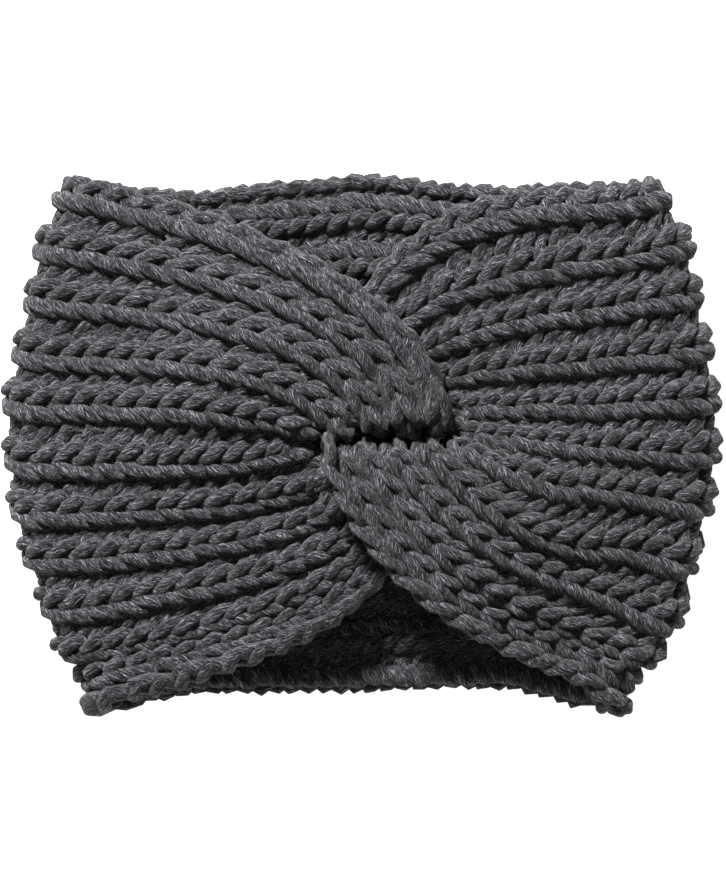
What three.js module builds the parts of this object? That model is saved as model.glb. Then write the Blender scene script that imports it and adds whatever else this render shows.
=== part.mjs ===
// Ear warmer headband, lying flat on its back with the twist up.
// One wide strip in chunky knit-one purl-one rib runs round the head; its two
// ends are folded in half, locked into each other at the front and sewn on the inside.
// Millimetres: X along the folded band, Y across the ribs, Z up from the table.
import * as THREE from "three";

// ---- Driving dimensions -------------------------------------------------
const BAND_WIDTH = 227; // side fold to side fold, lying flat
const RIB_PITCH = 15; // one knit rib and one purl valley, at rest
const RIBS = 11; // knit ribs across the strip
const FABRIC = 11; // rib fabric, crest of one face to crest of the other
const VALLEY = 3.2; // depth of the purl valleys below the crests
const HOLLOW = 7.5; // height of the opening for the head, as it lies
const TWIST_RISE = 15; // how far the upper leaves climb above the front layer
const DIVE_RADIUS = 6; // bend of the leaves where they turn down at the crease
const LEAF_GAP = 1; // air between leaves that pass each other
const YARN = 4.7; // yarn that sews the ends together
const SEAM_PASSES = 6; // times the sewing yarn crosses the four folded ends
const SEAM_CLEARANCE = 0.5; // between the sewing yarn and the fabric next to it

// ---- Derived levels -----------------------------------------------------
const HALF_BAND = BAND_WIDTH / 2;
const LAST_WALE = RIBS - 0.5; // the strip starts with a knit rib and ends with a purl one
const HALF_SPAN = (RIB_PITCH * LAST_WALE) / 2; // middle to the outermost wale
const HALF_FABRIC = FABRIC / 2;
const BACK_LEVEL = HALF_FABRIC; // mid-surface of the layer on the table
const FRONT_LEVEL = BACK_LEVEL + FABRIC + HOLLOW;
const FOLD_RADIUS = (FRONT_LEVEL - BACK_LEVEL) / 2;
const SEAM_TOP = FABRIC + YARN + 3 * SEAM_CLEARANCE; // where the strip's ends stop
const LAYER = FABRIC + LEAF_GAP; // step from one sewn layer to the next

// ---- Rib tables ---------------------------------------------------------
// A row for each knit rib, top to bottom, as it runs from the side fold to the twist,
// and one for the line just past the lower rim, which gives the last purl wale its place.
// edgeX, entryX, endX, lead, pull: shares of HALF_BAND. edgeY, entryY: shares of
// HALF_SPAN. turn: heading in degrees where the rib reaches the twist, 0 along its
// own wing and + towards the top. rise: share of TWIST_RISE. layer: place in the
// sewn stack, in layers from the crease. Rows with under = 1 pass below the other wing.
const COLUMNS = "edgeX edgeY entryX entryY turn lead pull rise endX layer under";
const LEFT_WING = table(COLUMNS, [
  [-0.85, 1.008, 0.19, 0.077, -88, 0.3, 0.43, 1.0, 0.19, 0.51, 0],
  [-0.905, 0.773, 0.11, 0.077, -82, 0.47, 0.31, 1.0, 0.11, 0.51, 0],
  [-0.937, 0.574, 0.026, 0.077, -72, 0.47, 0.25, 1.0, 0.026, 0.51, 0],
  [-0.967, 0.359, -0.063, 0.073, -55, 0.47, 0.21, 0.97, -0.063, 0.48, 0],
  [-0.996, 0.163, -0.155, 0.046, -25, 0.42, 0.19, 0.78, -0.155, 0.3, 0],
  [-0.992, -0.072, -0.165, -0.05, 10, 0.42, 0.19, 0.45, -0.165, -0.36, 0],
  [-0.97, -0.271, -0.062, -0.108, 28, 0.31, 0.19, 0.2, -0.105, -1.48, 1],
  [-0.93, -0.45, -0.03, -0.2, 36, 0.28, 0.25, 0.15, -0.035, -1.68, 1],
  [-0.88, -0.641, 0.008, -0.295, 40, 0.25, 0.31, 0.15, 0.03, -1.58, 1],
  [-0.832, -0.833, 0.04, -0.385, 42, 0.19, 0.34, 0.15, 0.09, -1.58, 1],
  [-0.79, -0.89, 0.07, -0.465, 42, 0.17, 0.33, 0.15, 0.14, -1.58, 1],
  [-0.745, -1.02, 0.095, -0.56, 42, 0.15, 0.3, 0.15, 0.19, -1.58, 1],
]);
const RIGHT_WING = table(COLUMNS, [
  [0.85, 0.98, 0.04, 0.616, -42, 0.25, 0.25, 0.15, -0.05, 1.58, 1],
  [0.914, 0.77, 0.11, 0.496, -35, 0.25, 0.28, 0.15, 0.012, 1.58, 1],
  [0.942, 0.585, 0.162, 0.368, -24, 0.28, 0.25, 0.15, 0.08, 1.58, 1],
  [0.97, 0.375, 0.198, 0.26, -12, 0.31, 0.22, 0.15, 0.145, 1.58, 1],
  [0.993, 0.178, 0.215, 0.16, 4, 0.31, 0.19, 0.2, 0.215, 1.4, 1],
  [0.997, -0.03, 0.272, 0.05, 10, 0.36, 0.19, 0.45, 0.272, 0.36, 0],
  [0.978, -0.215, 0.262, -0.046, 30, 0.36, 0.22, 0.78, 0.262, -0.3, 0],
  [0.94, -0.435, 0.172, -0.073, 57, 0.39, 0.28, 0.97, 0.172, -0.48, 0],
  [0.9, -0.65, 0.083, -0.077, 73, 0.33, 0.33, 1.0, 0.083, -0.51, 0],
  [0.835, -0.818, 0.008, -0.077, 84, 0.28, 0.36, 1.0, 0.008, -0.51, 0],
  [0.785, -0.88, -0.024, -0.077, 88, 0.22, 0.37, 1.0, -0.024, -0.51, 0],
  [0.735, -1.02, -0.05, -0.077, 92, 0.2, 0.4, 1.0, -0.05, -0.51, 0],
]);
// The layer on the table: how its outermost wales wander along the band.
// x: share of HALF_BAND. top, bottom: shares of HALF_SPAN.
const BACK_EDGES = table("x top bottom", [
  [-0.75, 0.992, -1.04],
  [-0.62, 0.968, -0.98],
  [-0.47, 0.956, -0.944],
  [-0.2, 0.996, -0.944],
  [0, 1.024, -0.94],
  [0.3, 0.982, -0.928],
  [0.45, 0.976, -0.94],
  [0.55, 0.988, -0.972],
  [0.7, 0.99, -1.03],
]);

function table(columns, rows) {
  const names = columns.split(" ");
  return rows.map((row) =>
    Object.fromEntries(names.map((name, i) => [name, row[i]])),
  );
}

// ---- Curves -------------------------------------------------------------
const v2 = (x, y) => new THREE.Vector2(x, y);
const v3 = (x, y, z) => new THREE.Vector3(x, y, z);
const smooth = (t) => THREE.MathUtils.smoothstep(t, 0, 1);
const DIVE_STEPS = 5;
const CLIMB_END = 0.68; // share of a rib's way by which it has risen to the twist

// One rib's centre line in plan, from the top of its side fold to its sewn end.
function ribPlan(row, side) {
  const inset = side * (HALF_FABRIC + FOLD_RADIUS);
  const start = v2(row.edgeX * HALF_BAND + inset, row.edgeY * HALF_SPAN);
  const end = v2(row.endX * HALF_BAND, row.layer * LAYER);
  const entry = row.under
    ? v2(row.entryX * HALF_BAND, row.entryY * HALF_SPAN)
    : end;
  const turn = THREE.MathUtils.degToRad(row.turn);
  const heading = v2(side * Math.cos(turn), Math.sin(turn));
  const shown = new THREE.CubicBezierCurve(
    start,
    start.clone().add(v2(side * row.lead * HALF_BAND, 0)),
    entry.clone().addScaledVector(heading, -row.pull * HALF_BAND),
    entry,
  );
  const points = shown.getSpacedPoints(28);
  if (row.under) {
    const reach = entry.distanceTo(end) / 3;
    const hidden = new THREE.CubicBezierCurve(
      entry,
      entry.clone().addScaledVector(heading, reach),
      end.clone().add(v2(0, -side * reach)),
      end,
    );
    points.push(...hidden.getSpacedPoints(8).slice(1));
  }
  return points;
}

// One rib's centre line in space: it climbs to the twist and turns down at its end.
function ribPath(row, side) {
  const plan = ribPlan(row, side);
  const way = [0];
  for (let i = 1; i < plan.length; i++)
    way.push(way[i - 1] + plan[i].distanceTo(plan[i - 1]));
  const total = way[way.length - 1];
  const top = FRONT_LEVEL + row.rise * TWIST_RISE;
  const bend = Math.min(DIVE_RADIUS, (top - SEAM_TOP) * 0.6);
  const points = [];
  plan.forEach((p, i) => {
    const left = total - way[i];
    if (left < bend) return;
    const climb = smooth(way[i] / total / CLIMB_END);
    points.push(v3(p.x, p.y, FRONT_LEVEL + (top - FRONT_LEVEL) * climb));
  });
  const end = plan[plan.length - 1];
  const from = points[points.length - 1];
  const dir = v3(end.x - from.x, end.y - from.y, 0).normalize();
  for (let i = 0; i <= DIVE_STEPS; i++) {
    const a = (i / DIVE_STEPS) * (Math.PI / 2);
    points.push(
      v3(end.x, end.y, top - bend)
        .addScaledVector(dir, bend * (Math.sin(a) - 1))
        .add(v3(0, 0, bend * Math.cos(a))),
    );
  }
  points.push(v3(end.x, end.y, SEAM_TOP));
  return new THREE.CatmullRomCurve3(points, false, "centripetal");
}

// ---- The strip's mid-surface as rows of points, one point for each rib ----
const WING_STATIONS = 18;
const FOLD_STATIONS = 6;
const BACK_STATIONS = 12;

function wingRows(rows, side) {
  const paths = rows.map((row) => ribPath(row, side));
  const list = [];
  for (let i = 0; i <= WING_STATIONS; i++) {
    const f = 1 - Math.pow(1 - i / WING_STATIONS, 1.5);
    list.push(paths.map((path) => path.getPointAt(f)));
  }
  return list;
}

function backY(rib, x) {
  const at = x / HALF_BAND;
  const last = BACK_EDGES.length - 1;
  const xs = BACK_EDGES.map((row) => row.x);
  const beyond = xs.findIndex((value) => value > at);
  const i = beyond < 0 ? last - 1 : Math.max(beyond - 1, 0);
  const [a, b] = [BACK_EDGES[i], BACK_EDGES[i + 1]];
  const t = smooth((at - a.x) / (b.x - a.x));
  const top = THREE.MathUtils.lerp(a.top, b.top, t);
  const bottom = THREE.MathUtils.lerp(a.bottom, b.bottom, t);
  const share = rib / LAST_WALE;
  return THREE.MathUtils.lerp(top, bottom, share) * HALF_SPAN;
}

// The half turn from the front layer to the back one at a side of the band.
function foldRows(rows, side) {
  const list = [];
  for (let i = 1; i < FOLD_STATIONS; i++) {
    const a = (i / FOLD_STATIONS) * Math.PI;
    list.push(
      rows.map((row, rib) => {
        const x = row.edgeX * HALF_BAND + side * (HALF_FABRIC + FOLD_RADIUS);
        const y = THREE.MathUtils.lerp(
          row.edgeY * HALF_SPAN,
          backY(rib, x),
          smooth(i / FOLD_STATIONS),
        );
        const z = BACK_LEVEL + FOLD_RADIUS * (1 + Math.cos(a));
        return v3(x - side * FOLD_RADIUS * Math.sin(a), y, z);
      }),
    );
  }
  return list;
}

function backRows() {
  const inset = HALF_FABRIC + FOLD_RADIUS;
  const list = [];
  for (let i = 0; i <= BACK_STATIONS; i++)
    list.push(
      LEFT_WING.map((row, rib) => {
        const x = THREE.MathUtils.lerp(
          row.edgeX * HALF_BAND + inset,
          RIGHT_WING[rib].edgeX * HALF_BAND - inset,
          i / BACK_STATIONS,
        );
        return v3(x, backY(rib, x), BACK_LEVEL);
      }),
    );
  return list;
}

// Left wing from its sewn end, left fold, back, right fold, right wing to its end.
const MID_SURFACE = [
  ...wingRows(LEFT_WING, 1).reverse(),
  ...foldRows(LEFT_WING, 1),
  ...backRows(),
  ...foldRows(RIGHT_WING, -1).reverse(),
  ...wingRows(RIGHT_WING, -1),
];

// A point of the mid-surface between ribs; rib may run past the outermost ones.
function across(row, rib) {
  const k = Math.min(Math.max(Math.floor(rib), 0), RIBS - 1);
  const t = rib - k;
  const point = (i) => {
    if (i < 0) return row[0].clone().multiplyScalar(2).sub(row[1]);
    if (i > RIBS) return row[RIBS].clone().multiplyScalar(2).sub(row[RIBS - 1]);
    return row[i];
  };
  if (t < 0 || t > 1) return row[k].clone().lerp(row[k + 1], t);
  const [a, b, c, d] = [point(k - 1), point(k), point(k + 1), point(k + 2)];
  const spline = (p, q, r, s) =>
    q +
    0.5 * t * (r - p + t * (2 * p - 5 * q + 4 * r - s + t * (3 * (q - r) + s - p)));
  return v3(
    spline(a.x, b.x, c.x, d.x),
    spline(a.y, b.y, c.y, d.y),
    spline(a.z, b.z, c.z, d.z),
  );
}

// ---- The strip's section across the ribs --------------------------------
// rib: place across the strip. off: height over the mid-surface, outer face +.
const CREST_HALF = 0.26; // half a crest's flat, in ribs
const HEM = 0.34; // how far the strip's rims lie past its outermost wales
const FLOOR = HALF_FABRIC - VALLEY;
const LIP = HALF_FABRIC * 0.4; // how far the rim's roll stands off the mid-surface
const ROLL = 0.05; // how much narrower the rim's two corners are, in ribs
const RIM = LAST_WALE + HEM;
const OUTER = [
  { rib: -HEM, off: 0 },
  { rib: -HEM + ROLL, off: LIP * 1.8 },
];
const INNER = [{ rib: -HEM + ROLL, off: -LIP }];
for (let k = 0; k < RIBS; k++) {
  OUTER.push({ rib: k - CREST_HALF, off: HALF_FABRIC });
  OUTER.push({ rib: k + CREST_HALF, off: HALF_FABRIC });
  OUTER.push({ rib: k + 0.5, off: FLOOR });
  INNER.push({ rib: k, off: -FLOOR });
  INNER.push({ rib: k + 0.5 - CREST_HALF, off: -HALF_FABRIC });
  INNER.push({ rib: k + 0.5 + CREST_HALF, off: -HALF_FABRIC });
}
OUTER.push({ rib: RIM - ROLL, off: LIP });
OUTER.push({ rib: RIM, off: 0 });
INNER.push({ rib: RIM - ROLL, off: -LIP * 1.8 });
const SECTION = [...OUTER, ...INNER.toReversed()];

// The section filled with triangles that each join one place on the outer face
// to the inner face beside it, so that a cut end may bend with the ribs.
function sectionFaces() {
  const inner = (j) => OUTER.length + INNER.length - 1 - j;
  const faces = [];
  let [i, j] = [0, 0];
  while (i < OUTER.length - 1 || j < INNER.length - 1) {
    const outerNext = i < OUTER.length - 1 ? OUTER[i + 1].rib : Infinity;
    const innerNext = j < INNER.length - 1 ? INNER[j + 1].rib : Infinity;
    if (outerNext < innerNext) faces.push([i, ++i, inner(j)]);
    else faces.push([i, inner(j + 1), inner(j++)]);
  }
  return faces;
}

function normalAt(rows, i, rib) {
  const before = across(rows[Math.max(i - 1, 0)], rib);
  const after = across(rows[Math.min(i + 1, rows.length - 1)], rib);
  const step = 0.5;
  const side = across(rows[i], rib + step).sub(across(rows[i], rib - step));
  return after.sub(before).cross(side).normalize();
}

function ribbedStrip() {
  const size = SECTION.length;
  const points = [];
  MID_SURFACE.forEach((row, i) => {
    for (const { rib, off } of SECTION)
      points.push(
        across(row, rib).addScaledVector(normalAt(MID_SURFACE, i, rib), off),
      );
  });
  const faces = [];
  const last = MID_SURFACE.length - 1;
  for (let i = 0; i < last; i++)
    for (let j = 0; j < size; j++) {
      const [a, b] = [i * size + j, i * size + ((j + 1) % size)];
      faces.push([a, a + size, b], [b, a + size, b + size]);
    }
  for (const [a, b, c] of sectionFaces()) {
    faces.push([a, b, c]);
    faces.push([last * size + c, last * size + b, last * size + a]);
  }
  return solid(points, faces);
}

// Closed body from points and triangles, turned so that its faces point out.
function solid(points, faces) {
  let volume = 0;
  for (const [a, b, c] of faces)
    volume += points[a].dot(points[b].clone().cross(points[c]));
  const index = volume < 0 ? faces.map(([a, b, c]) => [a, c, b]) : faces;
  const geometry = new THREE.BufferGeometry().setFromPoints(points);
  geometry.setIndex(index.flat());
  geometry.computeVertexNormals();
  return geometry;
}

// ---- The yarn that laces the four folded ends together -------------------
const SEAM_SIDES = 8;

function seamYarn() {
  const ends = [...LEFT_WING, ...RIGHT_WING].map((row) => row.endX * HALF_BAND);
  const low = Math.min(...ends);
  const high = Math.max(...ends);
  const reach = 1.58 * LAYER;
  const level = SEAM_TOP - SEAM_CLEARANCE - YARN / 2;
  const turns = [];
  for (let i = 0; i <= SEAM_PASSES; i++) {
    const x = THREE.MathUtils.lerp(low, high, i / SEAM_PASSES);
    turns.push(v3(x, i % 2 ? reach : -reach, level));
  }
  const route = new THREE.CatmullRomCurve3(turns, false, "catmullrom", 0.35);
  const rings = SEAM_PASSES * 9;
  const points = [];
  for (let i = 0; i <= rings; i++) {
    const centre = route.getPoint(i / rings);
    const along = route.getTangent(i / rings);
    const side = v3(-along.y, along.x, 0).normalize();
    for (let j = 0; j < SEAM_SIDES; j++) {
      const a = ((j + 0.5) / SEAM_SIDES) * Math.PI * 2;
      points.push(
        centre
          .clone()
          .addScaledVector(side, (Math.cos(a) * YARN) / 2)
          .add(v3(0, 0, (Math.sin(a) * YARN) / 2)),
      );
    }
  }
  const faces = [];
  for (let i = 0; i < rings; i++)
    for (let j = 0; j < SEAM_SIDES; j++) {
      const [a, b] = [i * SEAM_SIDES + j, i * SEAM_SIDES + ((j + 1) % SEAM_SIDES)];
      faces.push([a, a + SEAM_SIDES, b], [b, a + SEAM_SIDES, b + SEAM_SIDES]);
    }
  for (let j = 1; j < SEAM_SIDES - 1; j++) {
    const end = rings * SEAM_SIDES;
    faces.push([0, j, j + 1], [end, end + j + 1, end + j]);
  }
  return solid(points, faces);
}

// ---- Assembly -------------------------------------------------------------
const wool = new THREE.MeshStandardMaterial({ color: 0x4b4c50, roughness: 0.95 });
const band = new THREE.Group();
const pieces = { ribbed_strip: ribbedStrip(), seam_yarn: seamYarn() };
const box = new THREE.Box3();
for (const geometry of Object.values(pieces)) {
  geometry.computeBoundingBox();
  box.union(geometry.boundingBox);
}
const middle = box.getCenter(v3(0, 0, 0));
for (const [name, geometry] of Object.entries(pieces)) {
  geometry.translate(-middle.x, -middle.y, -box.min.z);
  const mesh = new THREE.Mesh(geometry, wool);
  mesh.name = name;
  band.add(mesh);
}
export default band;
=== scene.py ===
"""Ear warmer headband in chunky charcoal rib, lying flat with its twist up.

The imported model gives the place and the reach. Here the strip is knitted loop by
loop: one yarn runs to and fro across the ribs, course after course, over the same
mid-surface that the solid strip has. +X runs along the folded band to the
photograph's right, +Y across the ribs to its top edge, +Z up from the table. Sizes
are in millimetres until a mesh is made.
"""
import math

import bpy
import numpy as np
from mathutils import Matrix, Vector


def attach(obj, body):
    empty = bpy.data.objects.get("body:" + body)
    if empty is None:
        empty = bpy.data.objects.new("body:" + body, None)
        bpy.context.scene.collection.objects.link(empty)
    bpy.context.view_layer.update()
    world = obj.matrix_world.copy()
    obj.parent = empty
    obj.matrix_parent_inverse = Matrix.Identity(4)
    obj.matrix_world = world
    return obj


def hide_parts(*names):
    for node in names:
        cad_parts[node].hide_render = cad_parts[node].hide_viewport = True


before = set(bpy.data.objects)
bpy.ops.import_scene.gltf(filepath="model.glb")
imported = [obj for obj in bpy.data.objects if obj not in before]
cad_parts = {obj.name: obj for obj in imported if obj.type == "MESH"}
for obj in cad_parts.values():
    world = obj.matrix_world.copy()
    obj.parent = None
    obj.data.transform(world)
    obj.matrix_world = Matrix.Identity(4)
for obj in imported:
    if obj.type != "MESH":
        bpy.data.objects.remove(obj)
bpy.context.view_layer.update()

# ---- The strip's sizes, as in the solid ------------------------------------
BAND_WIDTH = 227.0  # side fold to side fold
RIB_PITCH = 15.0  # one knit rib and one purl valley, at rest
RIBS = 11
FABRIC = 11.0  # crest of one face to crest of the other
HOLLOW = 7.5  # opening for the head
TWIST_RISE = 15.0  # how far the twist's middle stands above the wings'
CLIMB_END = 0.68  # share of a rib's way at which it has climbed to its full height
LEAF_GAP = 1.0  # between two folded leaves at the crease
SEAM_CLEARANCE = 0.5  # between the sewing yarn and what lies over and under it
SEAM_PASSES = 6

# ---- Where the knit differs from the solid ---------------------------------
DIVE_RADIUS = 2.5  # of a rib's last bend, tighter than the solid's
CREASE_SQUEEZE = 0.6  # how far the pressed leaves draw towards the crease
CREASE_RISE = 1.8  # the crease's place above the band's middle line
FOLD_FULL = 2.0  # how far the side folds stand out past the solid's section

HALF_BAND = BAND_WIDTH / 2
LAST_WALE = RIBS - 0.5  # the strip starts with a knit rib and ends with a purl one
HALF_SPAN = RIB_PITCH * LAST_WALE / 2
HALF_FABRIC = FABRIC / 2
BACK_LEVEL = HALF_FABRIC
FRONT_LEVEL = BACK_LEVEL + FABRIC + HOLLOW
FOLD_RADIUS = (FRONT_LEVEL - BACK_LEVEL) / 2
FOLD_INSET = HALF_FABRIC + FOLD_RADIUS - FOLD_FULL

# ---- The knitting ------------------------------------------------------------
YARN = 4.7  # super-bulky yarn
COURSE = 7.08  # one row of stitches, at rest
WALES = 2 * RIBS  # a knit one and a purl one to each rib
LAYER = FABRIC + LEAF_GAP
SEAM_TOP = FABRIC + YARN + 3 * SEAM_CLEARANCE
WING_COURSES = 14.3  # courses in each front wing, from the side fold to the seam
FOLD_COURSES = 4.1
BACK_COURSES = 28.2
COURSES = 2 * (WING_COURSES + FOLD_COURSES) + BACK_COURSES

# A row for each knit rib, top to bottom, and one for the line past the lower rim.
# Lengths along X are shares of HALF_BAND and along Y of HALF_SPAN.
# edge_x, edge_y: where the rib reaches the side fold. tilt: its slope there in
#   degrees, + where it rises outwards.
# entry_x, entry_y: where it goes below the other wing. turn: its heading there or at
#   the crease, in degrees from straight inwards, + towards the top edge.
# lead, pull: how long it keeps its first and its last heading, as shares of HALF_BAND.
# rise: share of TWIST_RISE. end_x: its sewn end. layer: which leaf of the fold it
#   ends in, in LAYERs from the middle. under: 1 where it passes below the other wing.
WING_COLUMNS = "edge_x edge_y tilt entry_x entry_y turn lead pull rise end_x layer under".split()
LEFT_WING = [
    (-0.85, 0.985, 13, 0.215, 0.077, -88, 0.4, 0.35, 1.0, 0.215, 0.51, 0),
    (-0.905, 0.773, 8, 0.125, 0.077, -82, 0.42, 0.31, 1.0, 0.125, 0.4, 0),
    (-0.937, 0.574, 5, 0.033, 0.077, -72, 0.45, 0.25, 1.0, 0.033, 0.51, 0),
    (-0.967, 0.359, 3, -0.06, 0.073, -55, 0.47, 0.21, 0.97, -0.06, 0.38, 0),
    (-0.996, 0.163, 1, -0.155, 0.046, -25, 0.42, 0.19, 0.78, -0.155, 0.3, 0),
    (-0.992, -0.072, 0, -0.165, -0.05, 10, 0.42, 0.19, 0.45, -0.165, -0.36, 0),
    (-0.98, -0.271, -2, -0.062, -0.108, 28, 0.33, 0.19, 0.2, -0.105, -1.48, 1),
    (-0.947, -0.45, -5, -0.03, -0.2, 38, 0.32, 0.22, 0.15, -0.035, -1.68, 1),
    (-0.905, -0.641, -8, 0.005, -0.295, 46, 0.33, 0.2, 0.15, 0.03, -1.58, 1),
    (-0.858, -0.82, -11, 0.03, -0.38, 55, 0.34, 0.18, 0.15, 0.09, -1.58, 1),
    (-0.79, -0.89, -12.5, 0.047, -0.441, 62, 0.35, 0.16, 0.15, 0.14, -1.58, 1),
    (-0.7, -1.07, -14, 0.07, -0.53, 62, 0.35, 0.16, 0.15, 0.19, -1.58, 1),
]
RIGHT_WING = [
    (0.85, 0.976, 16, 0.048, 0.628, -50, 0.15, 0.38, 0.15, -0.05, 1.58, 1),
    (0.914, 0.779, 12, 0.11, 0.498, -35, 0.3, 0.26, 0.15, 0.012, 1.58, 1),
    (0.942, 0.592, 12, 0.163, 0.37, -26, 0.3, 0.28, 0.15, 0.08, 1.58, 1),
    (0.97, 0.375, 7, 0.198, 0.26, -12, 0.31, 0.22, 0.15, 0.145, 1.58, 1),
    (0.993, 0.178, 2, 0.215, 0.16, 4, 0.31, 0.19, 0.2, 0.215, 1.4, 1),
    (0.997, -0.03, -3, 0.272, 0.05, 10, 0.36, 0.19, 0.45, 0.272, 0.36, 0),
    (0.978, -0.215, -12, 0.262, -0.046, 28, 0.3, 0.35, 0.78, 0.262, -0.3, 0),
    (0.94, -0.443, -21.5, 0.172, -0.073, 46, 0.2, 0.52, 0.97, 0.172, -0.4, 0),
    (0.9, -0.666, -29.5, 0.083, -0.077, 53, 0.2, 0.45, 1.0, 0.083, -0.51, 0),
    (0.835, -0.832, -30, 0.003, -0.077, 60, 0.23, 0.52, 1.0, 0.003, -0.38, 0),
    (0.77, -0.862, -29.5, -0.055, -0.077, 70, 0.12, 0.46, 1.0, -0.055, -0.51, 0),
    (0.672, -1.0, -31, -0.115, -0.077, 87, 0.2, 0.4, 1.0, -0.115, -0.51, 0),
]
# Shares, for the layer that lies on the table: x, then y of the top and bottom wale.
BACK_EDGES = np.array([
    (-0.75, 0.992, -1.045),
    (-0.62, 0.968, -1.01),
    (-0.47, 0.956, -0.962),
    (-0.2, 0.996, -0.962),
    (0.0, 1.024, -0.958),
    (0.3, 0.982, -0.945),
    (0.45, 0.976, -0.952),
    (0.55, 0.988, -1.01),
    (0.7, 0.99, -1.04),
])


def wing_table(rows):
    """The rows of a wing as named columns."""
    return dict(zip(WING_COLUMNS, np.array(rows, float).T))


def smooth(t):
    """0 to 1 with level ends: t squared times (three less twice t)."""
    t = np.clip(t, 0.0, 1.0)
    return t * t * (3 - 2 * t)


def bezier(points, count):
    """Cubic Bezier curve through four control points, as count points."""
    t = np.linspace(0, 1, count)[:, None]
    a, b, c, d = points
    return (1 - t) ** 3 * a + 3 * (1 - t) ** 2 * t * b + 3 * (1 - t) * t * t * c + t ** 3 * d


def travelled(points):
    """Distance along a row of points, starting at 0."""
    steps = np.linalg.norm(np.diff(points, axis=0), axis=1)
    return np.concatenate([[0.0], np.cumsum(steps)])


# ---- Mid-surface of the strip --------------------------------------------------
PLAN_POINTS, HIDDEN_POINTS, ARC_POINTS = 90, 30, 12
DIVE_SHARE = 0.6  # most of the height over the seam that a rib's last bend may take
EASE_SHARE = 0.35  # share of a wing over which its courses pass from rest to stretched
GRID_STEP = 0.1  # spacing of the grid's rows, in courses
SMOOTHINGS = 3


def rib_path(wing, rib, side):
    """One rib's middle from the top of its side fold to its sewn end.

    In plan a Bezier curve to the twist, and a second one below the other wing where
    the rib passes under it. The height climbs smoothly to the twist, and the last
    stretch turns down on a quarter circle.
    """
    row = {name: wing[name][rib] for name in WING_COLUMNS}
    start = np.array([row["edge_x"] * HALF_BAND + side * FOLD_INSET, row["edge_y"] * HALF_SPAN])
    under = row["under"] > 0
    draw = 1.0 if under else CREASE_SQUEEZE
    rise = 0.0 if under else CREASE_RISE
    end = np.array([row["end_x"] * HALF_BAND, row["layer"] * LAYER * draw + rise])
    entry = np.array([row["entry_x"] * HALF_BAND, row["entry_y"] * HALF_SPAN]) if under else end
    turn = math.radians(row["turn"])
    heading = np.array([side * math.cos(turn), math.sin(turn)])
    lead = np.array([side, -math.tan(math.radians(row["tilt"]))]) * row["lead"] * HALF_BAND
    plan = bezier((start, start + lead, entry - heading * row["pull"] * HALF_BAND, entry),
                  PLAN_POINTS)
    if under:
        reach = np.linalg.norm(end - entry) / 3
        drop = np.array([0.0, -side * reach])
        hidden = bezier((entry, entry + heading * reach, end + drop, end), HIDDEN_POINTS)
        plan = np.vstack([plan, hidden[1:]])
    way = travelled(plan)
    top = FRONT_LEVEL + row["rise"] * TWIST_RISE
    bend = min(DIVE_RADIUS, (top - SEAM_TOP) * DIVE_SHARE)
    kept = way[-1] - way >= bend
    height = FRONT_LEVEL + (top - FRONT_LEVEL) * smooth(way / way[-1] / CLIMB_END)
    path = np.column_stack([plan, height])[kept]
    out = np.append(end - path[-1, :2], 0.0)
    out /= np.linalg.norm(out)
    angle = np.linspace(0, math.pi / 2, ARC_POINTS)[1:, None]
    centre = np.array([end[0], end[1], top - bend])
    arc = centre + bend * ((np.sin(angle) - 1) * out + np.cos(angle) * np.array([0, 0, 1]))
    foot = np.array([[end[0], end[1], SEAM_TOP]])
    return np.vstack([path, arc, foot])


def wing_grid(wing, side, shares):
    """Places of all ribs at each share of a wing, counted from the side fold.

    Near the fold a course takes its rest length; further in, it stretches so that
    all ribs end at the seam after the same number of courses. The stretch comes in as
    a parabola, and runs straight after EASE_SHARE.
    """
    eased = np.where(shares < EASE_SHARE, shares ** 2 / (2 * EASE_SHARE), shares - EASE_SHARE / 2)
    eased = eased / (1 - EASE_SHARE / 2)
    columns = []
    for rib in range(RIBS + 1):
        path = rib_path(wing, rib, side)
        way = travelled(path)
        slow = COURSE * WING_COURSES / way[-1]
        at = way[-1] * (shares * slow + eased * (1 - slow))
        columns.append(np.column_stack([np.interp(at, way, path[:, i]) for i in range(3)]))
    return np.stack(columns, axis=1)


def back_y(rib, x):
    """Rib's y on the back layer: its share of the way between the top and the bottom
    wale, each smoothly interpolated in x from BACK_EDGES."""
    at = x / HALF_BAND
    xs = BACK_EDGES[:, 0]
    i = np.clip(np.searchsorted(xs, at, side="right") - 1, 0, len(xs) - 2)
    t = smooth((at - xs[i]) / (xs[i + 1] - xs[i]))
    edges = BACK_EDGES[i, 1:] * (1 - t)[..., None] + BACK_EDGES[i + 1, 1:] * t[..., None]
    share = rib / LAST_WALE
    return (edges[..., 0] * (1 - share) + edges[..., 1] * share) * HALF_SPAN


def fold_grid(wing, side, shares):
    """The half circle at a side, shares counted from the front layer to the back. The
    ribs set out with the front layer's tilt and settle into the back layer's rows."""
    ribs = np.arange(RIBS + 1)
    angle = shares[:, None] * math.pi
    centre = wing["edge_x"] * HALF_BAND + side * FOLD_INSET
    out = FOLD_RADIUS * np.sin(angle)
    settle = smooth(shares)[:, None]
    front = wing["edge_y"] * HALF_SPAN + np.tan(np.radians(wing["tilt"])) * out
    y = front * (1 - settle) + back_y(ribs, centre) * settle
    z = BACK_LEVEL + FOLD_RADIUS * (1 + np.cos(angle))
    return np.stack([centre - side * out, y, np.broadcast_to(z, y.shape)], axis=-1)


def back_grid(left, right, shares):
    """The layer on the table, shares counted from the left fold."""
    t = shares[:, None]
    from_x = left["edge_x"] * HALF_BAND + FOLD_INSET
    x = from_x * (1 - t) + (right["edge_x"] * HALF_BAND - FOLD_INSET) * t
    y = back_y(np.arange(RIBS + 1), x)
    return np.stack([x, y, np.full_like(x, BACK_LEVEL)], axis=-1)


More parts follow.
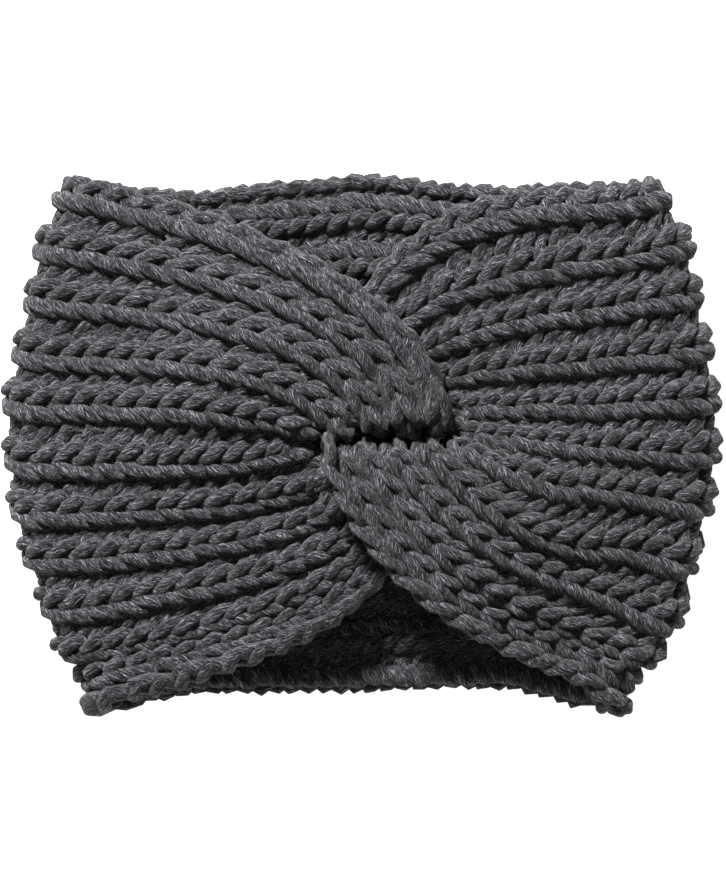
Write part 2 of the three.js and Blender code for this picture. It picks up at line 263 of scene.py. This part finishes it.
def mid_surface():
    """Grid of the strip's middle, and its outward normals.

    A row each GRID_STEP from the left wing's sewn end round the back to the right
    wing's, and a column for each rib with one more past each rim. A normal is the
    cross product of the steps along and across the strip.
    """
    left, right = wing_table(LEFT_WING), wing_table(RIGHT_WING)
    at = np.arange(0, COURSES + GRID_STEP / 2, GRID_STEP)
    marks = np.cumsum([0, WING_COURSES, FOLD_COURSES, BACK_COURSES, FOLD_COURSES, WING_COURSES])
    share = [np.clip((at - a) / (b - a), 0, 1) for a, b in zip(marks[:-1], marks[1:])]
    parts = [
        wing_grid(left, 1, 1 - share[0]),
        fold_grid(left, 1, share[1]),
        back_grid(left, right, share[2]),
        fold_grid(right, -1, 1 - share[3]),
        wing_grid(right, -1, share[4]),
    ]
    which = np.clip(np.searchsorted(marks, at, side="right") - 1, 0, 4)
    grid = np.stack(parts)[which, np.arange(len(at))]
    first = 2 * grid[:, :1] - grid[:, 1:2]
    last = 2 * grid[:, -1:] - grid[:, -2:-1]
    grid = np.concatenate([first, grid, last], axis=1)
    # a short running mean takes the corners off where the stretches join
    for _ in range(SMOOTHINGS):
        grid[1:-1] = (grid[:-2] + 2 * grid[1:-1] + grid[2:]) / 4
    normal = np.cross(np.gradient(grid, axis=0), np.gradient(grid, axis=1))
    normal /= np.linalg.norm(normal, axis=-1, keepdims=True)
    return grid, normal


def catmull(a, b, c, d, t):
    """Curve through b and c at share t, with slopes from their neighbours."""
    return b + 0.5 * t * (c - a + t * (2 * a - 5 * b + 4 * c - d + t * (3 * (b - c) + d - a)))


def sample(grid, course, rib):
    """Grid value at any course and rib: curves along the strip, then across it."""
    u = np.clip(course / GRID_STEP, 0, grid.shape[0] - 1.001)  # just inside the last row
    i = u.astype(int)
    t = (u - i)[..., None, None]
    top = grid.shape[0] - 1
    rows = [grid[np.clip(i + k, 0, top)] for k in (-1, 0, 1, 2)]
    v = rib + 1
    j = np.clip(v.astype(int), 1, grid.shape[1] - 3)
    f = (v - j)[..., None]
    cols = []
    for k in (-1, 0, 1, 2):
        pick = (j + k)[..., None, None]
        four = [np.take_along_axis(r, pick, axis=-2) for r in rows]
        cols.append(catmull(*four, t)[..., 0, :])
    return catmull(*cols, f)


GRID, NORMAL = mid_surface()


# The rims' rolls: the knit rim rolls towards the inside, the purl rim towards the
# outer face. radius in mm, reach in ribs from the outermost wale's middle to where
# the roll starts, keep the share of its thickness that the rolled rim keeps.
TOP_ROLL = {"face": -1.0, "radius": 2.4, "reach": 0.0, "keep": 0.35}
LOW_ROLL = {"face": 1.0, "radius": 3.2, "reach": 0.26, "keep": 0.6}
ROLL_EASE = 0.25  # ribs past the hinge over which the rim thins
REST_SINK = 1.5  # mm, how far the purl wales lie behind the knit ones at rest
SINK = 5.0  # mm, how far they sink where the ribs are crowded
CROWD_RATE = 1.6  # full crowding is where the ribs keep 1 - 1 / CROWD_RATE of their pitch
CROWDING = 0.42  # how much of the purl wales' room the knit wales take in the twist
THINNEST = 0.74  # share of its thickness that the fabric keeps where the ribs meet
YARN_THINNING = 1.5  # power of that share by which the yarn itself thins
DEEPEST = 0.9  # how much deeper than flat knit the crowded stitches are cut
LEG_TOP, BACK_FADE = 3.4, 2.2  # mm over and under the middle, past which nothing is cut
SQUARING = 0.7  # how far a stitch keeps square where the fabric is sheared
MOST_SHEAR = 1.3  # courses per rib, where the squaring stops


def rib_spacing(course, rib):
    """Distance between neighbouring ribs there, in mm."""
    low = sample(GRID, course, rib - 0.5)
    return np.linalg.norm(sample(GRID, course, rib + 0.5) - low, axis=-1)


def rolled(past, off, roll):
    """Reach past the hinge and height off the middle, bent round a rim's roll.

    The circle's centre lies one radius to the roll's face of the middle, so a point
    turns on the radius less its own height towards that face.
    """
    keep = 1 - (1 - roll["keep"]) * smooth(past / ROLL_EASE)
    turn = past * RIB_PITCH / roll["radius"]
    arm = roll["radius"] - roll["face"] * off * keep
    return arm * np.sin(turn) / RIB_PITCH, roll["face"] * (roll["radius"] - arm * np.cos(turn))


def squared(course, rib, across):
    """Course of a point that lies across millimetres off its wale's middle, moved
    along the wale so that the stitch stays nearly square on sheared fabric.

    The shear is the step across the ribs measured along the step between courses.
    """
    along = sample(GRID, course + 0.5, rib) - sample(GRID, course - 0.5, rib)
    over = sample(GRID, course, rib + 0.5) - sample(GRID, course, rib - 0.5)
    shear = np.sum(along * over, axis=-1) / np.sum(along * along, axis=-1)
    shear = np.clip(shear, -MOST_SHEAR, MOST_SHEAR)
    return course + SQUARING * shear * across / RIB_PITCH


def on_strip(course, rib, off):
    """Place off millimetres outside the strip's middle, and the share of its
    thickness that the fabric keeps there.

    A cosine of the rib number sinks the purl wales. Where the ribs crowd together a
    sine of it also widens the knit wales at the purl wales' cost, and what lies below
    the legs' top goes deeper in proportion. Past the outermost wales the fabric rolls
    on circles.
    """
    spacing = rib_spacing(course, rib)
    crowd = np.clip(CROWD_RATE * (1 - spacing / RIB_PITCH), 0, 1)
    sink = REST_SINK + (SINK - REST_SINK) * crowd
    off = off - sink * (1 - np.cos(2 * math.pi * rib)) / 2
    rib = rib + CROWDING * crowd * np.sin(2 * math.pi * rib) / (2 * math.pi)
    for hinge, towards, roll in ((TOP_ROLL["reach"], -1.0, TOP_ROLL),
                                 (LAST_WALE - LOW_ROLL["reach"], 1.0, LOW_ROLL)):
        past = np.maximum((rib - hinge) * towards, 0.0)
        reach, height = rolled(past, off, roll)
        rib = np.where(past > 0, hinge + towards * reach, rib)
        off = np.where(past > 0, height, off)
    normal = sample(NORMAL, course, rib)
    normal /= np.linalg.norm(normal, axis=-1, keepdims=True)
    squeezed = THINNEST + (1 - THINNEST) * np.clip(spacing / RIB_PITCH, 0, 1)
    front = np.clip(1 + off / BACK_FADE, 0, 1)
    off = off * squeezed - DEEPEST * crowd * np.maximum(LEG_TOP - off, 0) * front
    return sample(GRID, course, rib) + normal * off[..., None], squeezed


# ---- One stitch ------------------------------------------------------------------
# A knit stitch from its root on the lower side to the next one, leant by the twist
# of its yarn. across: from the wale's middle, + towards the top rib. along: up the
# wale. off: out of the fabric. thick: share of YARN. The low leg lies almost along
# the wale, the high leg steeply across it, and the head slants on the far side.
STITCH = np.array([
    # across along  off  thick
    (-3.9, -1.6, 0.0, 0.86),
    (-2.9, -2.4, -0.3, 0.86),
    (-1.2, -0.3, 0.4, 0.88),
    (-2.7, 4.0, 3.0, 1.0),
    (-4.0, 8.1, 1.0, 0.9),
    (-2.9, 13.1, 0.1, 0.86),
    (-0.3, 11.6, -0.8, 0.94),
    (2.4, 9.4, 0.0, 0.84),
    (4.4, 7.9, 1.2, 0.78),
    (2.6, 4.1, 3.4, 0.96),
    (0.3, 0.6, 1.2, 0.8),
    (2.2, -1.5, -0.3, 0.86),
])
GUIDES = len(STITCH)
LEAN_FROM = 4.2  # along, the place in a stitch that stays when its length varies
UNEVEN = [0.28, 0.36, 0.24, 0.045]  # spread of a stitch's across, along, off and thick
UNEVEN_SIZE = 0.05  # spread of its length, as a share
FIRST_ROW = 0.25  # courses from the strip's end to the first row's along 0
TURN = np.array([0.2, COURSE / 2, 0.4, 0.0, 0.0])  # past the rim, half a course up and out
RINGS = 18  # rings of yarn in a stitch
SIDES = 12  # sides of a ring


def stitch_points():
    """Guide points of a knit stitch, and of a purl stitch, which is the same one
    turned half round the wale's line and walked the other way."""
    purl = STITCH * [-1, 1, -1, 1]
    return STITCH, np.vstack([STITCH[:1], purl[1:][::-1]])


def yarn_route(rng):
    """Guide points of the whole yarn: course, rib, off, thickness and the distance
    across from the wale's middle.

    The wales alternate knit and purl, courses run to and fro, and a point past the
    rim turns the yarn into the next course. Each stitch is a little uneven.
    """
    knit, purl = stitch_points()
    wales = np.arange(WALES)
    shape = np.where((wales % 2 == 1)[:, None, None], knit, purl)
    rows = int(COURSES) - 1  # one less, for a stitch reaches into the next course
    pts = np.broadcast_to(shape, (rows, WALES, GUIDES, 4)).copy()
    pts += rng.normal(size=(rows, WALES, 1, 4)) * UNEVEN
    size = 1 + rng.normal(size=(rows, WALES, 1)) * UNEVEN_SIZE
    pts[..., 1] = LEAN_FROM + (pts[..., 1] - LEAN_FROM) * size
    pts = np.concatenate([pts, pts[..., :1]], axis=-1)  # across, from the wale's middle
    # + is towards the top rib, so the walk starts at the lower rim's purl wale
    pts[..., 0] += (wales[:, None] - (WALES - 1) / 2) * RIB_PITCH / 2
    pts[..., 1] += (np.arange(rows)[:, None, None] + FIRST_ROW) * COURSE
    pts = pts.reshape(rows, WALES * GUIDES, 5)
    # a row closes at the top rim with its first root, mirrored, and turns there; one
    # that is walked back turns at the lower rim
    close = pts[:, :1] * [-1, 1, 1, 1, -1]
    there = np.concatenate([pts, close, close + TURN], axis=1)
    turn_back = pts[:, :1] + TURN * [-1, 1, 1, 1, 1]
    back = np.concatenate([np.concatenate([pts, close], axis=1)[:, ::-1], turn_back], axis=1)
    walk = np.where((np.arange(rows) % 2 == 0)[:, None, None], there, back)
    course = COURSES - walk[..., 1] / COURSE
    rib = LAST_WALE / 2 - walk[..., 0] / RIB_PITCH
    return np.stack([course, rib, walk[..., 2], walk[..., 3], walk[..., 4]], axis=-1)


def refine(guides, per):
    """Smooth curve through guide points, with per rings for each step between them."""
    count = int((len(guides) - 1) * per) + 1
    u = np.linspace(0, len(guides) - 1.0001, count)  # just inside the last point
    i = u.astype(int)
    t = (u - i)[:, None]
    pick = [guides[np.clip(i + k, 0, len(guides) - 1)] for k in (-1, 0, 1, 2)]
    return catmull(*pick, t)


def carried_frame(path):
    """Two directions across a path that turn with it as little as they can: each is
    the one before it, less its share along the path. So this runs in order."""
    tangent = np.gradient(path, axis=0)
    tangent /= np.linalg.norm(tangent, axis=1, keepdims=True)
    across = np.empty_like(path)
    seed = np.array([0.0, 0.0, 1.0] if abs(tangent[0, 2]) < 0.9 else [1.0, 0.0, 0.0])
    for i, t in enumerate(tangent):
        seed = seed - t * (seed @ t)
        seed /= math.sqrt(seed @ seed)
        across[i] = seed
    return across, np.cross(tangent, across)


# ---- Meshes ----------------------------------------------------------------------
MM_PER_M = 1000.0


def new_object(name, points, faces, material, uv=None):
    """Mesh object at the origin from millimetre points and arrays of faces, one array
    for each number of corners. uv has a pair for each corner of the faces in turn."""
    corners = np.concatenate([array.ravel() for array in faces])
    counts = np.concatenate([np.full(len(array), array.shape[1]) for array in faces])
    mesh = bpy.data.meshes.new(name)
    mesh.vertices.add(len(points))
    mesh.vertices.foreach_set("co", (points / MM_PER_M).astype(np.float32).ravel())
    mesh.loops.add(len(corners))
    mesh.loops.foreach_set("vertex_index", corners.astype(np.int32))
    mesh.polygons.add(len(counts))
    mesh.polygons.foreach_set("loop_start", (np.cumsum(counts) - counts).astype(np.int32))
    mesh.update(calc_edges=True)
    if uv is not None:
        mesh.uv_layers.new(name="yarn").data.foreach_set("uv", uv.astype(np.float32).ravel())
    mesh.shade_smooth()
    mesh.materials.append(material)
    piece = bpy.data.objects.new(name, mesh)
    bpy.context.collection.objects.link(piece)
    return piece


def yarn_object(name, path, radius, material, start=0.0):
    """Round yarn along a path, a ring of SIDES points for each of its places. Its UV
    map holds millimetres along the yarn, counted from start, and turns round it, so
    the material can lay the twisted fibres."""
    across, up = carried_frame(path)
    angle = (np.arange(SIDES) * 2 * math.pi / SIDES)[None, :, None]
    ring = np.cos(angle) * across[:, None] + np.sin(angle) * up[:, None]
    points = path[:, None] + radius[:, None, None] * ring
    # both ends close on their middle point
    points = np.vstack([points.reshape(-1, 3), path[:1], path[-1:]])
    count = len(path)
    index = np.arange(count * SIDES).reshape(count, SIDES)
    after = np.roll(index, -1, axis=1)
    quads = np.stack([index[:-1], after[:-1], after[1:], index[1:]], axis=-1).reshape(-1, 4)
    first, last = np.full(SIDES, count * SIDES), np.full(SIDES, count * SIDES + 1)
    tips = np.vstack([np.column_stack([after[0], index[0], first]),
                      np.column_stack([index[-1], after[-1], last])])
    length = travelled(path) + start
    u0 = np.broadcast_to(length[:-1, None], (count - 1, SIDES))
    u1 = np.broadcast_to(length[1:, None], (count - 1, SIDES))
    low = np.broadcast_to(np.arange(SIDES) / SIDES, (count - 1, SIDES))
    high = low + 1 / SIDES
    uv = np.stack([np.stack([u0, u0, u1, u1], axis=-1), np.stack([low, high, high, low], axis=-1)],
                  axis=-1).reshape(-1, 2)
    uv = np.vstack([uv, np.zeros((tips.size, 2))])
    return new_object(name, points, [quads, tips], material, uv)


# ---- Materials ---------------------------------------------------------------------
def linear(hex_colour):
    """Linear colour of an sRGB hex value."""
    parts = [int(hex_colour[i:i + 2], 16) / 255 for i in (1, 3, 5)]
    straight = [c / 12.92 if c <= 0.04045 else ((c + 0.055) / 1.055) ** 2.4 for c in parts]
    return (*straight, 1.0)


def add_node(tree, kind, settings=None, **links):
    """Adds a node, sets its attributes and sockets, and links its inputs. A socket goes
    by its name or its number, which is #1 in settings and i1 in links."""
    node = tree.nodes.new(kind)
    for name, value in (settings or {}).items():
        if hasattr(node, name):
            setattr(node, name, value)
        else:
            node.inputs[int(name[1:]) if name[0] == "#" else name].default_value = value
    for name, source in links.items():
        key = int(name[1:]) if name[1:].isdigit() else name.replace("_", " ")
        tree.links.new(source, node.inputs[key])
    return node


LAY = 26.0  # mm of yarn in which its fibres turn once round it
LOOSE_LAY = 0.62 * LAY  # the same for the loosely lying fibres, which wind steeper
SWAY = 0.16  # turns by which the lay wanders


def lay_coordinates(tree, length, turn, lay, stretch):
    """Coordinates that follow fibres laid round the yarn once in lay millimetres:
    the sine and cosine of the angle left over, and stretch times the length."""
    math_node = "ShaderNodeMath"
    twist = add_node(tree, math_node, {"operation": "MULTIPLY_ADD", "#1": -1 / lay},
                     i0=length, i2=turn)
    angle = add_node(tree, math_node, {"operation": "MULTIPLY", "#1": 2 * math.pi},
                     i0=twist.outputs[0])
    sine = add_node(tree, math_node, {"operation": "SINE"}, i0=angle.outputs[0])
    cosine = add_node(tree, math_node, {"operation": "COSINE"}, i0=angle.outputs[0])
    along = add_node(tree, math_node, {"operation": "MULTIPLY", "#1": stretch}, i0=length)
    return add_node(tree, "ShaderNodeCombineXYZ",
                    i0=sine.outputs[0], i1=cosine.outputs[0], i2=along.outputs[0])


def wool_blend_yarn():
    """Loosely spun wool blend: dark and pale fibres lie side by side along the twist,
    which gives the heather streaks, and painted shade darkens the gaps between the
    fibres to near black; its rough surface is matt with a faint sheen.

    A wool fibre is 0.03 mm thick, too fine to show, so the streaks are drawn about
    0.25 mm wide: a tenth of the coordinates' unit, which is the yarn's radius.
    """
    material = bpy.data.materials.new("wool_blend_yarn")
    material.use_nodes = True
    tree = material.node_tree
    tree.nodes.clear()
    noise, math_node = "ShaderNodeTexNoise", "ShaderNodeMath"
    uv = add_node(tree, "ShaderNodeUVMap", {"uv_map": "yarn"})
    split = add_node(tree, "ShaderNodeSeparateXYZ", i0=uv.outputs[0])
    place = add_node(tree, "ShaderNodeTexCoord")
    # the lay wanders a little every 3 mm or so
    sway = add_node(tree, noise, {"Scale": 330.0, "Detail": 1.0}, Vector=place.outputs["Object"])
    turn = add_node(tree, math_node, {"operation": "MULTIPLY_ADD", "#1": SWAY},
                    i0=sway.outputs[0], i2=split.outputs[1])
    lay = lay_coordinates(tree, split.outputs[0], turn.outputs[0], LAY, 0.04)
    cross = lay_coordinates(tree, split.outputs[0], split.outputs[1], LOOSE_LAY, 0.08)
    # streaks 2.6 mm long along the lay, and 1.4 mm long ones that cross it
    fibres = add_node(tree, noise, {"Scale": 9.5, "Detail": 3.0, "Roughness": 0.8},
                      Vector=lay.outputs[0])
    loose = add_node(tree, noise, {"Scale": 9.0, "Detail": 2.0, "Roughness": 0.6},
                     Vector=cross.outputs[0])
    blend = add_node(tree, "ShaderNodeMix", {"Factor": 0.36},
                     i2=fibres.outputs[0], i3=loose.outputs[0])
    # strands 1 mm wide, and patches of 17 mm, are a little darker or paler
    strands = add_node(tree, noise, {"Scale": 2.2, "Detail": 1.0}, Vector=lay.outputs[0])
    patch = add_node(tree, noise, {"Scale": 60.0, "Detail": 1.0}, Vector=place.outputs["Object"])
    # the ramp's near-black low stops are painted shade in the gaps between fibres, its paler stops
    # the heather's own dark and pale fibres
    fibre_colour_and_gap_shade = add_node(tree, "ShaderNodeValToRGB", i0=blend.outputs[0])
    stops = fibre_colour_and_gap_shade.color_ramp.elements
    stops[0].position, stops[0].color = 0.42, linear("#030304")
    stops[1].position, stops[1].color = 0.63, linear("#bcbdc3")
    for at, colour in ((0.47, "#111113"), (0.54, "#3d3e42")):
        middle = stops.new(at)
        middle.color = linear(colour)
    middling = {"From Min": 0.3, "From Max": 0.7}  # most of a noise's values
    strand_tone = add_node(tree, "ShaderNodeMapRange", {**middling, "To Min": 0.85, "To Max": 1.15},
                           Value=strands.outputs[0])
    patch_tone = add_node(tree, "ShaderNodeMapRange", {**middling, "To Min": 0.88, "To Max": 1.12},
                          Value=patch.outputs[0])
    factor = add_node(tree, math_node, {"operation": "MULTIPLY"},
                      i0=strand_tone.outputs[0], i1=patch_tone.outputs[0])
    colour = add_node(tree, "ShaderNodeVectorMath", {"operation": "SCALE"},
                      i0=fibre_colour_and_gap_shade.outputs[0], Scale=factor.outputs[0])
    bump = add_node(tree, "ShaderNodeBump", {"Strength": 1.0, "Distance": 0.0008},
                    Height=blend.outputs[0])
    surface = add_node(tree, "ShaderNodeBsdfPrincipled",
                       {"Roughness": 0.92, "Sheen Weight": 0.12, "Sheen Roughness": 0.5,
                        "IOR": 1.54, "Specular IOR Level": 0.2},
                       Base_Color=colour.outputs[0], Normal=bump.outputs[0])
    add_node(tree, "ShaderNodeOutputMaterial", Surface=surface.outputs[0])
    return material


def plain_material(name, colour, roughness, glow=0.0):
    """A material of one colour, which gives off white light of the strength glow."""
    material = bpy.data.materials.new(name)
    material.use_nodes = True
    shader = material.node_tree.nodes["Principled BSDF"]
    shader.inputs["Base Color"].default_value = linear(colour)
    shader.inputs["Roughness"].default_value = roughness
    shader.inputs["Emission Color"].default_value = linear("#ffffff")
    shader.inputs["Emission Strength"].default_value = glow
    return material


def loose_wool_fibres():
    """Single wool fibres that stand off the yarn: paler than it, for light comes
    through them."""
    return plain_material("loose_wool_fibres", "#6e6f75", 0.7)


def lit_paper():
    """White paper, lit from below as on a photographer's table, so it takes hardly any
    shadow."""
    return plain_material("white_paper", "#f4f4f4", 0.9, glow=1.0)


# ---- Loose fibres ---------------------------------------------------------------------
FUZZ = 7400  # fibres in all
FUZZ_LENGTH = (1.5, 4.0)  # mm, the shortest and the most that is added to it
FUZZ_RADIUS = 0.06  # mm at the root, coarser than wool's so that it shows
FUZZ_TAPER = 0.8  # share of its thickness that a fibre loses on its way
FUZZ_RINGS, FUZZ_SIDES = 5, 3
FUZZ_OUT = (0.15, 0.9)  # how far a fibre heads outwards, against 1 along the yarn
FUZZ_STRAY = 0.3  # spread of its heading to all sides
FUZZ_BEND, FUZZ_MOST_BEND = 0.9, 1.5  # spread of its bend, and the limit in spreads
FUZZ_RETURN = 0.5  # how far it bends back towards the yarn
FUZZ_LOWEST = 0.05  # mm over the table
ROOT_DEPTH = 0.93  # share of the yarn's radius at which a fibre is rooted


def fibre_mesh(name, roots, heading, bend, length, material):
    """Thin fibres that taper along a parabola: root plus length times (heading times
    t plus half of bend times t squared)."""
    t = np.linspace(0, 1, FUZZ_RINGS)
    way = heading[:, None] * t[:, None] + bend[:, None] * (t * t)[:, None] / 2
    middle = roots[:, None] + length[:, None, None] * way
    along = heading[:, None] + bend[:, None] * t[:, None]
    # the odd offset keeps the second direction from lying along the fibre
    across = np.cross(along, bend[:, None] + [0.31, 0.17, 0.53])
    across /= np.linalg.norm(across, axis=-1, keepdims=True)
    up = np.cross(along, across)
    up /= np.linalg.norm(up, axis=-1, keepdims=True)
    turn = (np.arange(FUZZ_SIDES) * 2 * math.pi / FUZZ_SIDES)[:, None]
    ring = np.cos(turn) * across[:, :, None] + np.sin(turn) * up[:, :, None]
    thin = FUZZ_RADIUS * (1 - FUZZ_TAPER * t)[:, None, None]
    points = (middle[:, :, None] + thin * ring).reshape(-1, 3)
    points[:, 2] = np.maximum(points[:, 2], FUZZ_LOWEST)
    ids = np.arange(len(points)).reshape(-1, FUZZ_RINGS, FUZZ_SIDES)
    after = np.roll(ids, -1, axis=2)
    a, b, c, d = ids[:, :-1], after[:, :-1], after[:, 1:], ids[:, 1:]
    faces = [np.stack([a, b, c], -1).reshape(-1, 3), np.stack([a, c, d], -1).reshape(-1, 3),
             ids[:, 0, ::-1], ids[:, -1]]
    return new_object(name, points, faces, material)


def fuzz(rng, paths, radii, material):
    """Fibres rooted all over the yarn, most of them lying along it."""
    path, radius = np.concatenate(paths), np.concatenate(radii)
    pick = rng.integers(2, len(path) - 2, FUZZ)
    tangent = path[pick + 1] - path[pick - 1]
    tangent /= np.linalg.norm(tangent, axis=1, keepdims=True)
    out = np.cross(tangent, rng.normal(size=(FUZZ, 3)))
    out /= np.linalg.norm(out, axis=1, keepdims=True)
    roots = path[pick] + out * radius[pick, None] * ROOT_DEPTH
    sense = rng.choice([-1.0, 1.0], FUZZ)[:, None]
    heading = tangent * sense + out * rng.uniform(*FUZZ_OUT, (FUZZ, 1))
    heading = heading + rng.normal(size=(FUZZ, 3)) * FUZZ_STRAY
    heading /= np.linalg.norm(heading, axis=1, keepdims=True)
    bend = np.clip(rng.normal(size=(FUZZ, 3)), -FUZZ_MOST_BEND, FUZZ_MOST_BEND)
    bend = bend * FUZZ_BEND - out * FUZZ_RETURN
    length = FUZZ_LENGTH[0] + FUZZ_LENGTH[1] * rng.random(FUZZ) ** 2
    return fibre_mesh("loose_fibres", roots, heading, bend, length, material)


# ---- The knitted strip ---------------------------------------------------------------
SEED = 7  # of the stitches' unevenness and of the fibres
FIBRE_START = 1000.0  # mm for each row, so that the four lengths' fibres differ
SEAM_REACH = 1.58  # LAYERs from the middle to where the sewing yarn turns back
SEAM_RINGS = 14  # rings of yarn in a pass


def knit_strip(material):
    """The whole yarn as four lengths, each under the limit of triangles, and its
    loose fibres."""
    rng = np.random.default_rng(SEED)
    route = yarn_route(rng)
    # the yarn starts at the right wing's sewn end
    names = ("right_front_knit", "right_back_knit", "left_back_knit", "left_front_knit")
    cuts = np.linspace(0, len(route), len(names) + 1).astype(int)
    pieces, paths, radii = [], [], []
    for name, a, b in zip(names, cuts[:-1], cuts[1:]):
        fine = refine(route[a:b].reshape(-1, 5), RINGS / GUIDES)
        course, rib, off, thick, across = fine.T
        path, squeezed = on_strip(squared(course, rib, across), rib, off)
        radius = thick * squeezed ** YARN_THINNING * YARN / 2
        path[:, 2] = np.maximum(path[:, 2], radius)  # the table holds it up
        pieces.append(yarn_object(name, path, radius, material, start=a * FIBRE_START))
        paths.append(path)
        radii.append(radius)
    pieces.append(fuzz(rng, paths, radii, loose_wool_fibres()))
    return pieces


def sewing_yarn(material):
    """The yarn that laces the four folded ends together under the twist: points on
    its two sides in turn, joined by a smooth curve."""
    end_x = WING_COLUMNS.index("end_x")
    ends = np.array([row[end_x] for row in LEFT_WING + RIGHT_WING]) * HALF_BAND
    x = np.linspace(ends.min(), ends.max(), SEAM_PASSES + 1)
    y = np.where(np.arange(SEAM_PASSES + 1) % 2, 1, -1) * SEAM_REACH * LAYER
    z = np.full(SEAM_PASSES + 1, SEAM_TOP - SEAM_CLEARANCE - YARN / 2)
    path = refine(np.column_stack([x, y, z]), SEAM_RINGS)
    return yarn_object("sewing_yarn", path, np.full(len(path), YARN / 2), material)


wool = wool_blend_yarn()
knit = knit_strip(wool)
sewn = sewing_yarn(wool)
for piece in knit:
    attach(piece, "root")
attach(sewn, "root")
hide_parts("ribbed_strip")
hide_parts("seam_yarn")


# ---- Floor, light and camera -----------------------------------------------------------
FRAME_PX = (726, 888)
MM_PER_PX = 0.3138  # the solid's 226.6 mm over the photographed band's 722 pixels
CENTRE_PX = 362.5  # where the photograph shows the middle of the band, from its left
LENS_MM, SENSOR_MM = 200.0, 36.0  # a long lens, for the photograph shows no perspective
FOCUS_LEVEL = 0.02  # m, the level at which the frame has the photograph's size
HALF_FLOOR = 3000.0


def floor():
    """A pale square that the band lies on."""
    points = np.array([(-1, -1, 0), (1, -1, 0), (1, 1, 0), (-1, 1, 0)]) * HALF_FLOOR
    ground = new_object("floor", points, [np.array([[0, 1, 2, 3]])], lit_paper())


def area_light(name, place, target, size, power):
    """A square soft light of a size in metres and a power in watts, at a place in
    metres and aimed at a target."""
    light = bpy.data.lights.new(name, "AREA")
    light.shape, light.size, light.energy = "SQUARE", size, power
    lamp = bpy.data.objects.new(name, light)
    lamp.location = place
    lamp.rotation_euler = (Vector(target) - Vector(place)).to_track_quat("-Z", "Y").to_euler()
    bpy.context.collection.objects.link(lamp)


def camera():
    """Straight above, framed as the photograph."""
    half_height = FRAME_PX[1] * MM_PER_PX / MM_PER_M / 2
    data = bpy.data.cameras.new("camera")
    data.lens, data.sensor_fit, data.sensor_height = LENS_MM, "VERTICAL", SENSOR_MM
    data.clip_end = 20.0
    view = bpy.data.objects.new("camera", data)
    view.location = ((FRAME_PX[0] / 2 - CENTRE_PX) * MM_PER_PX / MM_PER_M, 0.0,
                     FOCUS_LEVEL + half_height * 2 * LENS_MM / SENSOR_MM)
    bpy.context.collection.objects.link(view)
    bpy.context.scene.camera = view


def studio():
    """A small key light from beyond the top edge, whose low light shows the stitches,
    a weak broad fill, and hardly any light from all round."""
    area_light("key_light", place=(-0.4, 1.06, 1.2), target=(0, 0, 0.02), size=0.3, power=59.5)
    area_light("fill_light", place=(0.1, -0.3, 1.5), target=(0, -0.03, 0.02), size=0.8, power=2.2)
    world = bpy.data.worlds.new("studio")
    world.use_nodes = True
    background = world.node_tree.nodes["Background"]
    background.inputs["Color"].default_value = (1, 1, 1, 1)
    background.inputs["Strength"].default_value = 0.04
    bpy.context.scene.world = world
    bpy.context.scene.view_settings.view_transform = "Standard"


floor()
camera()
studio()
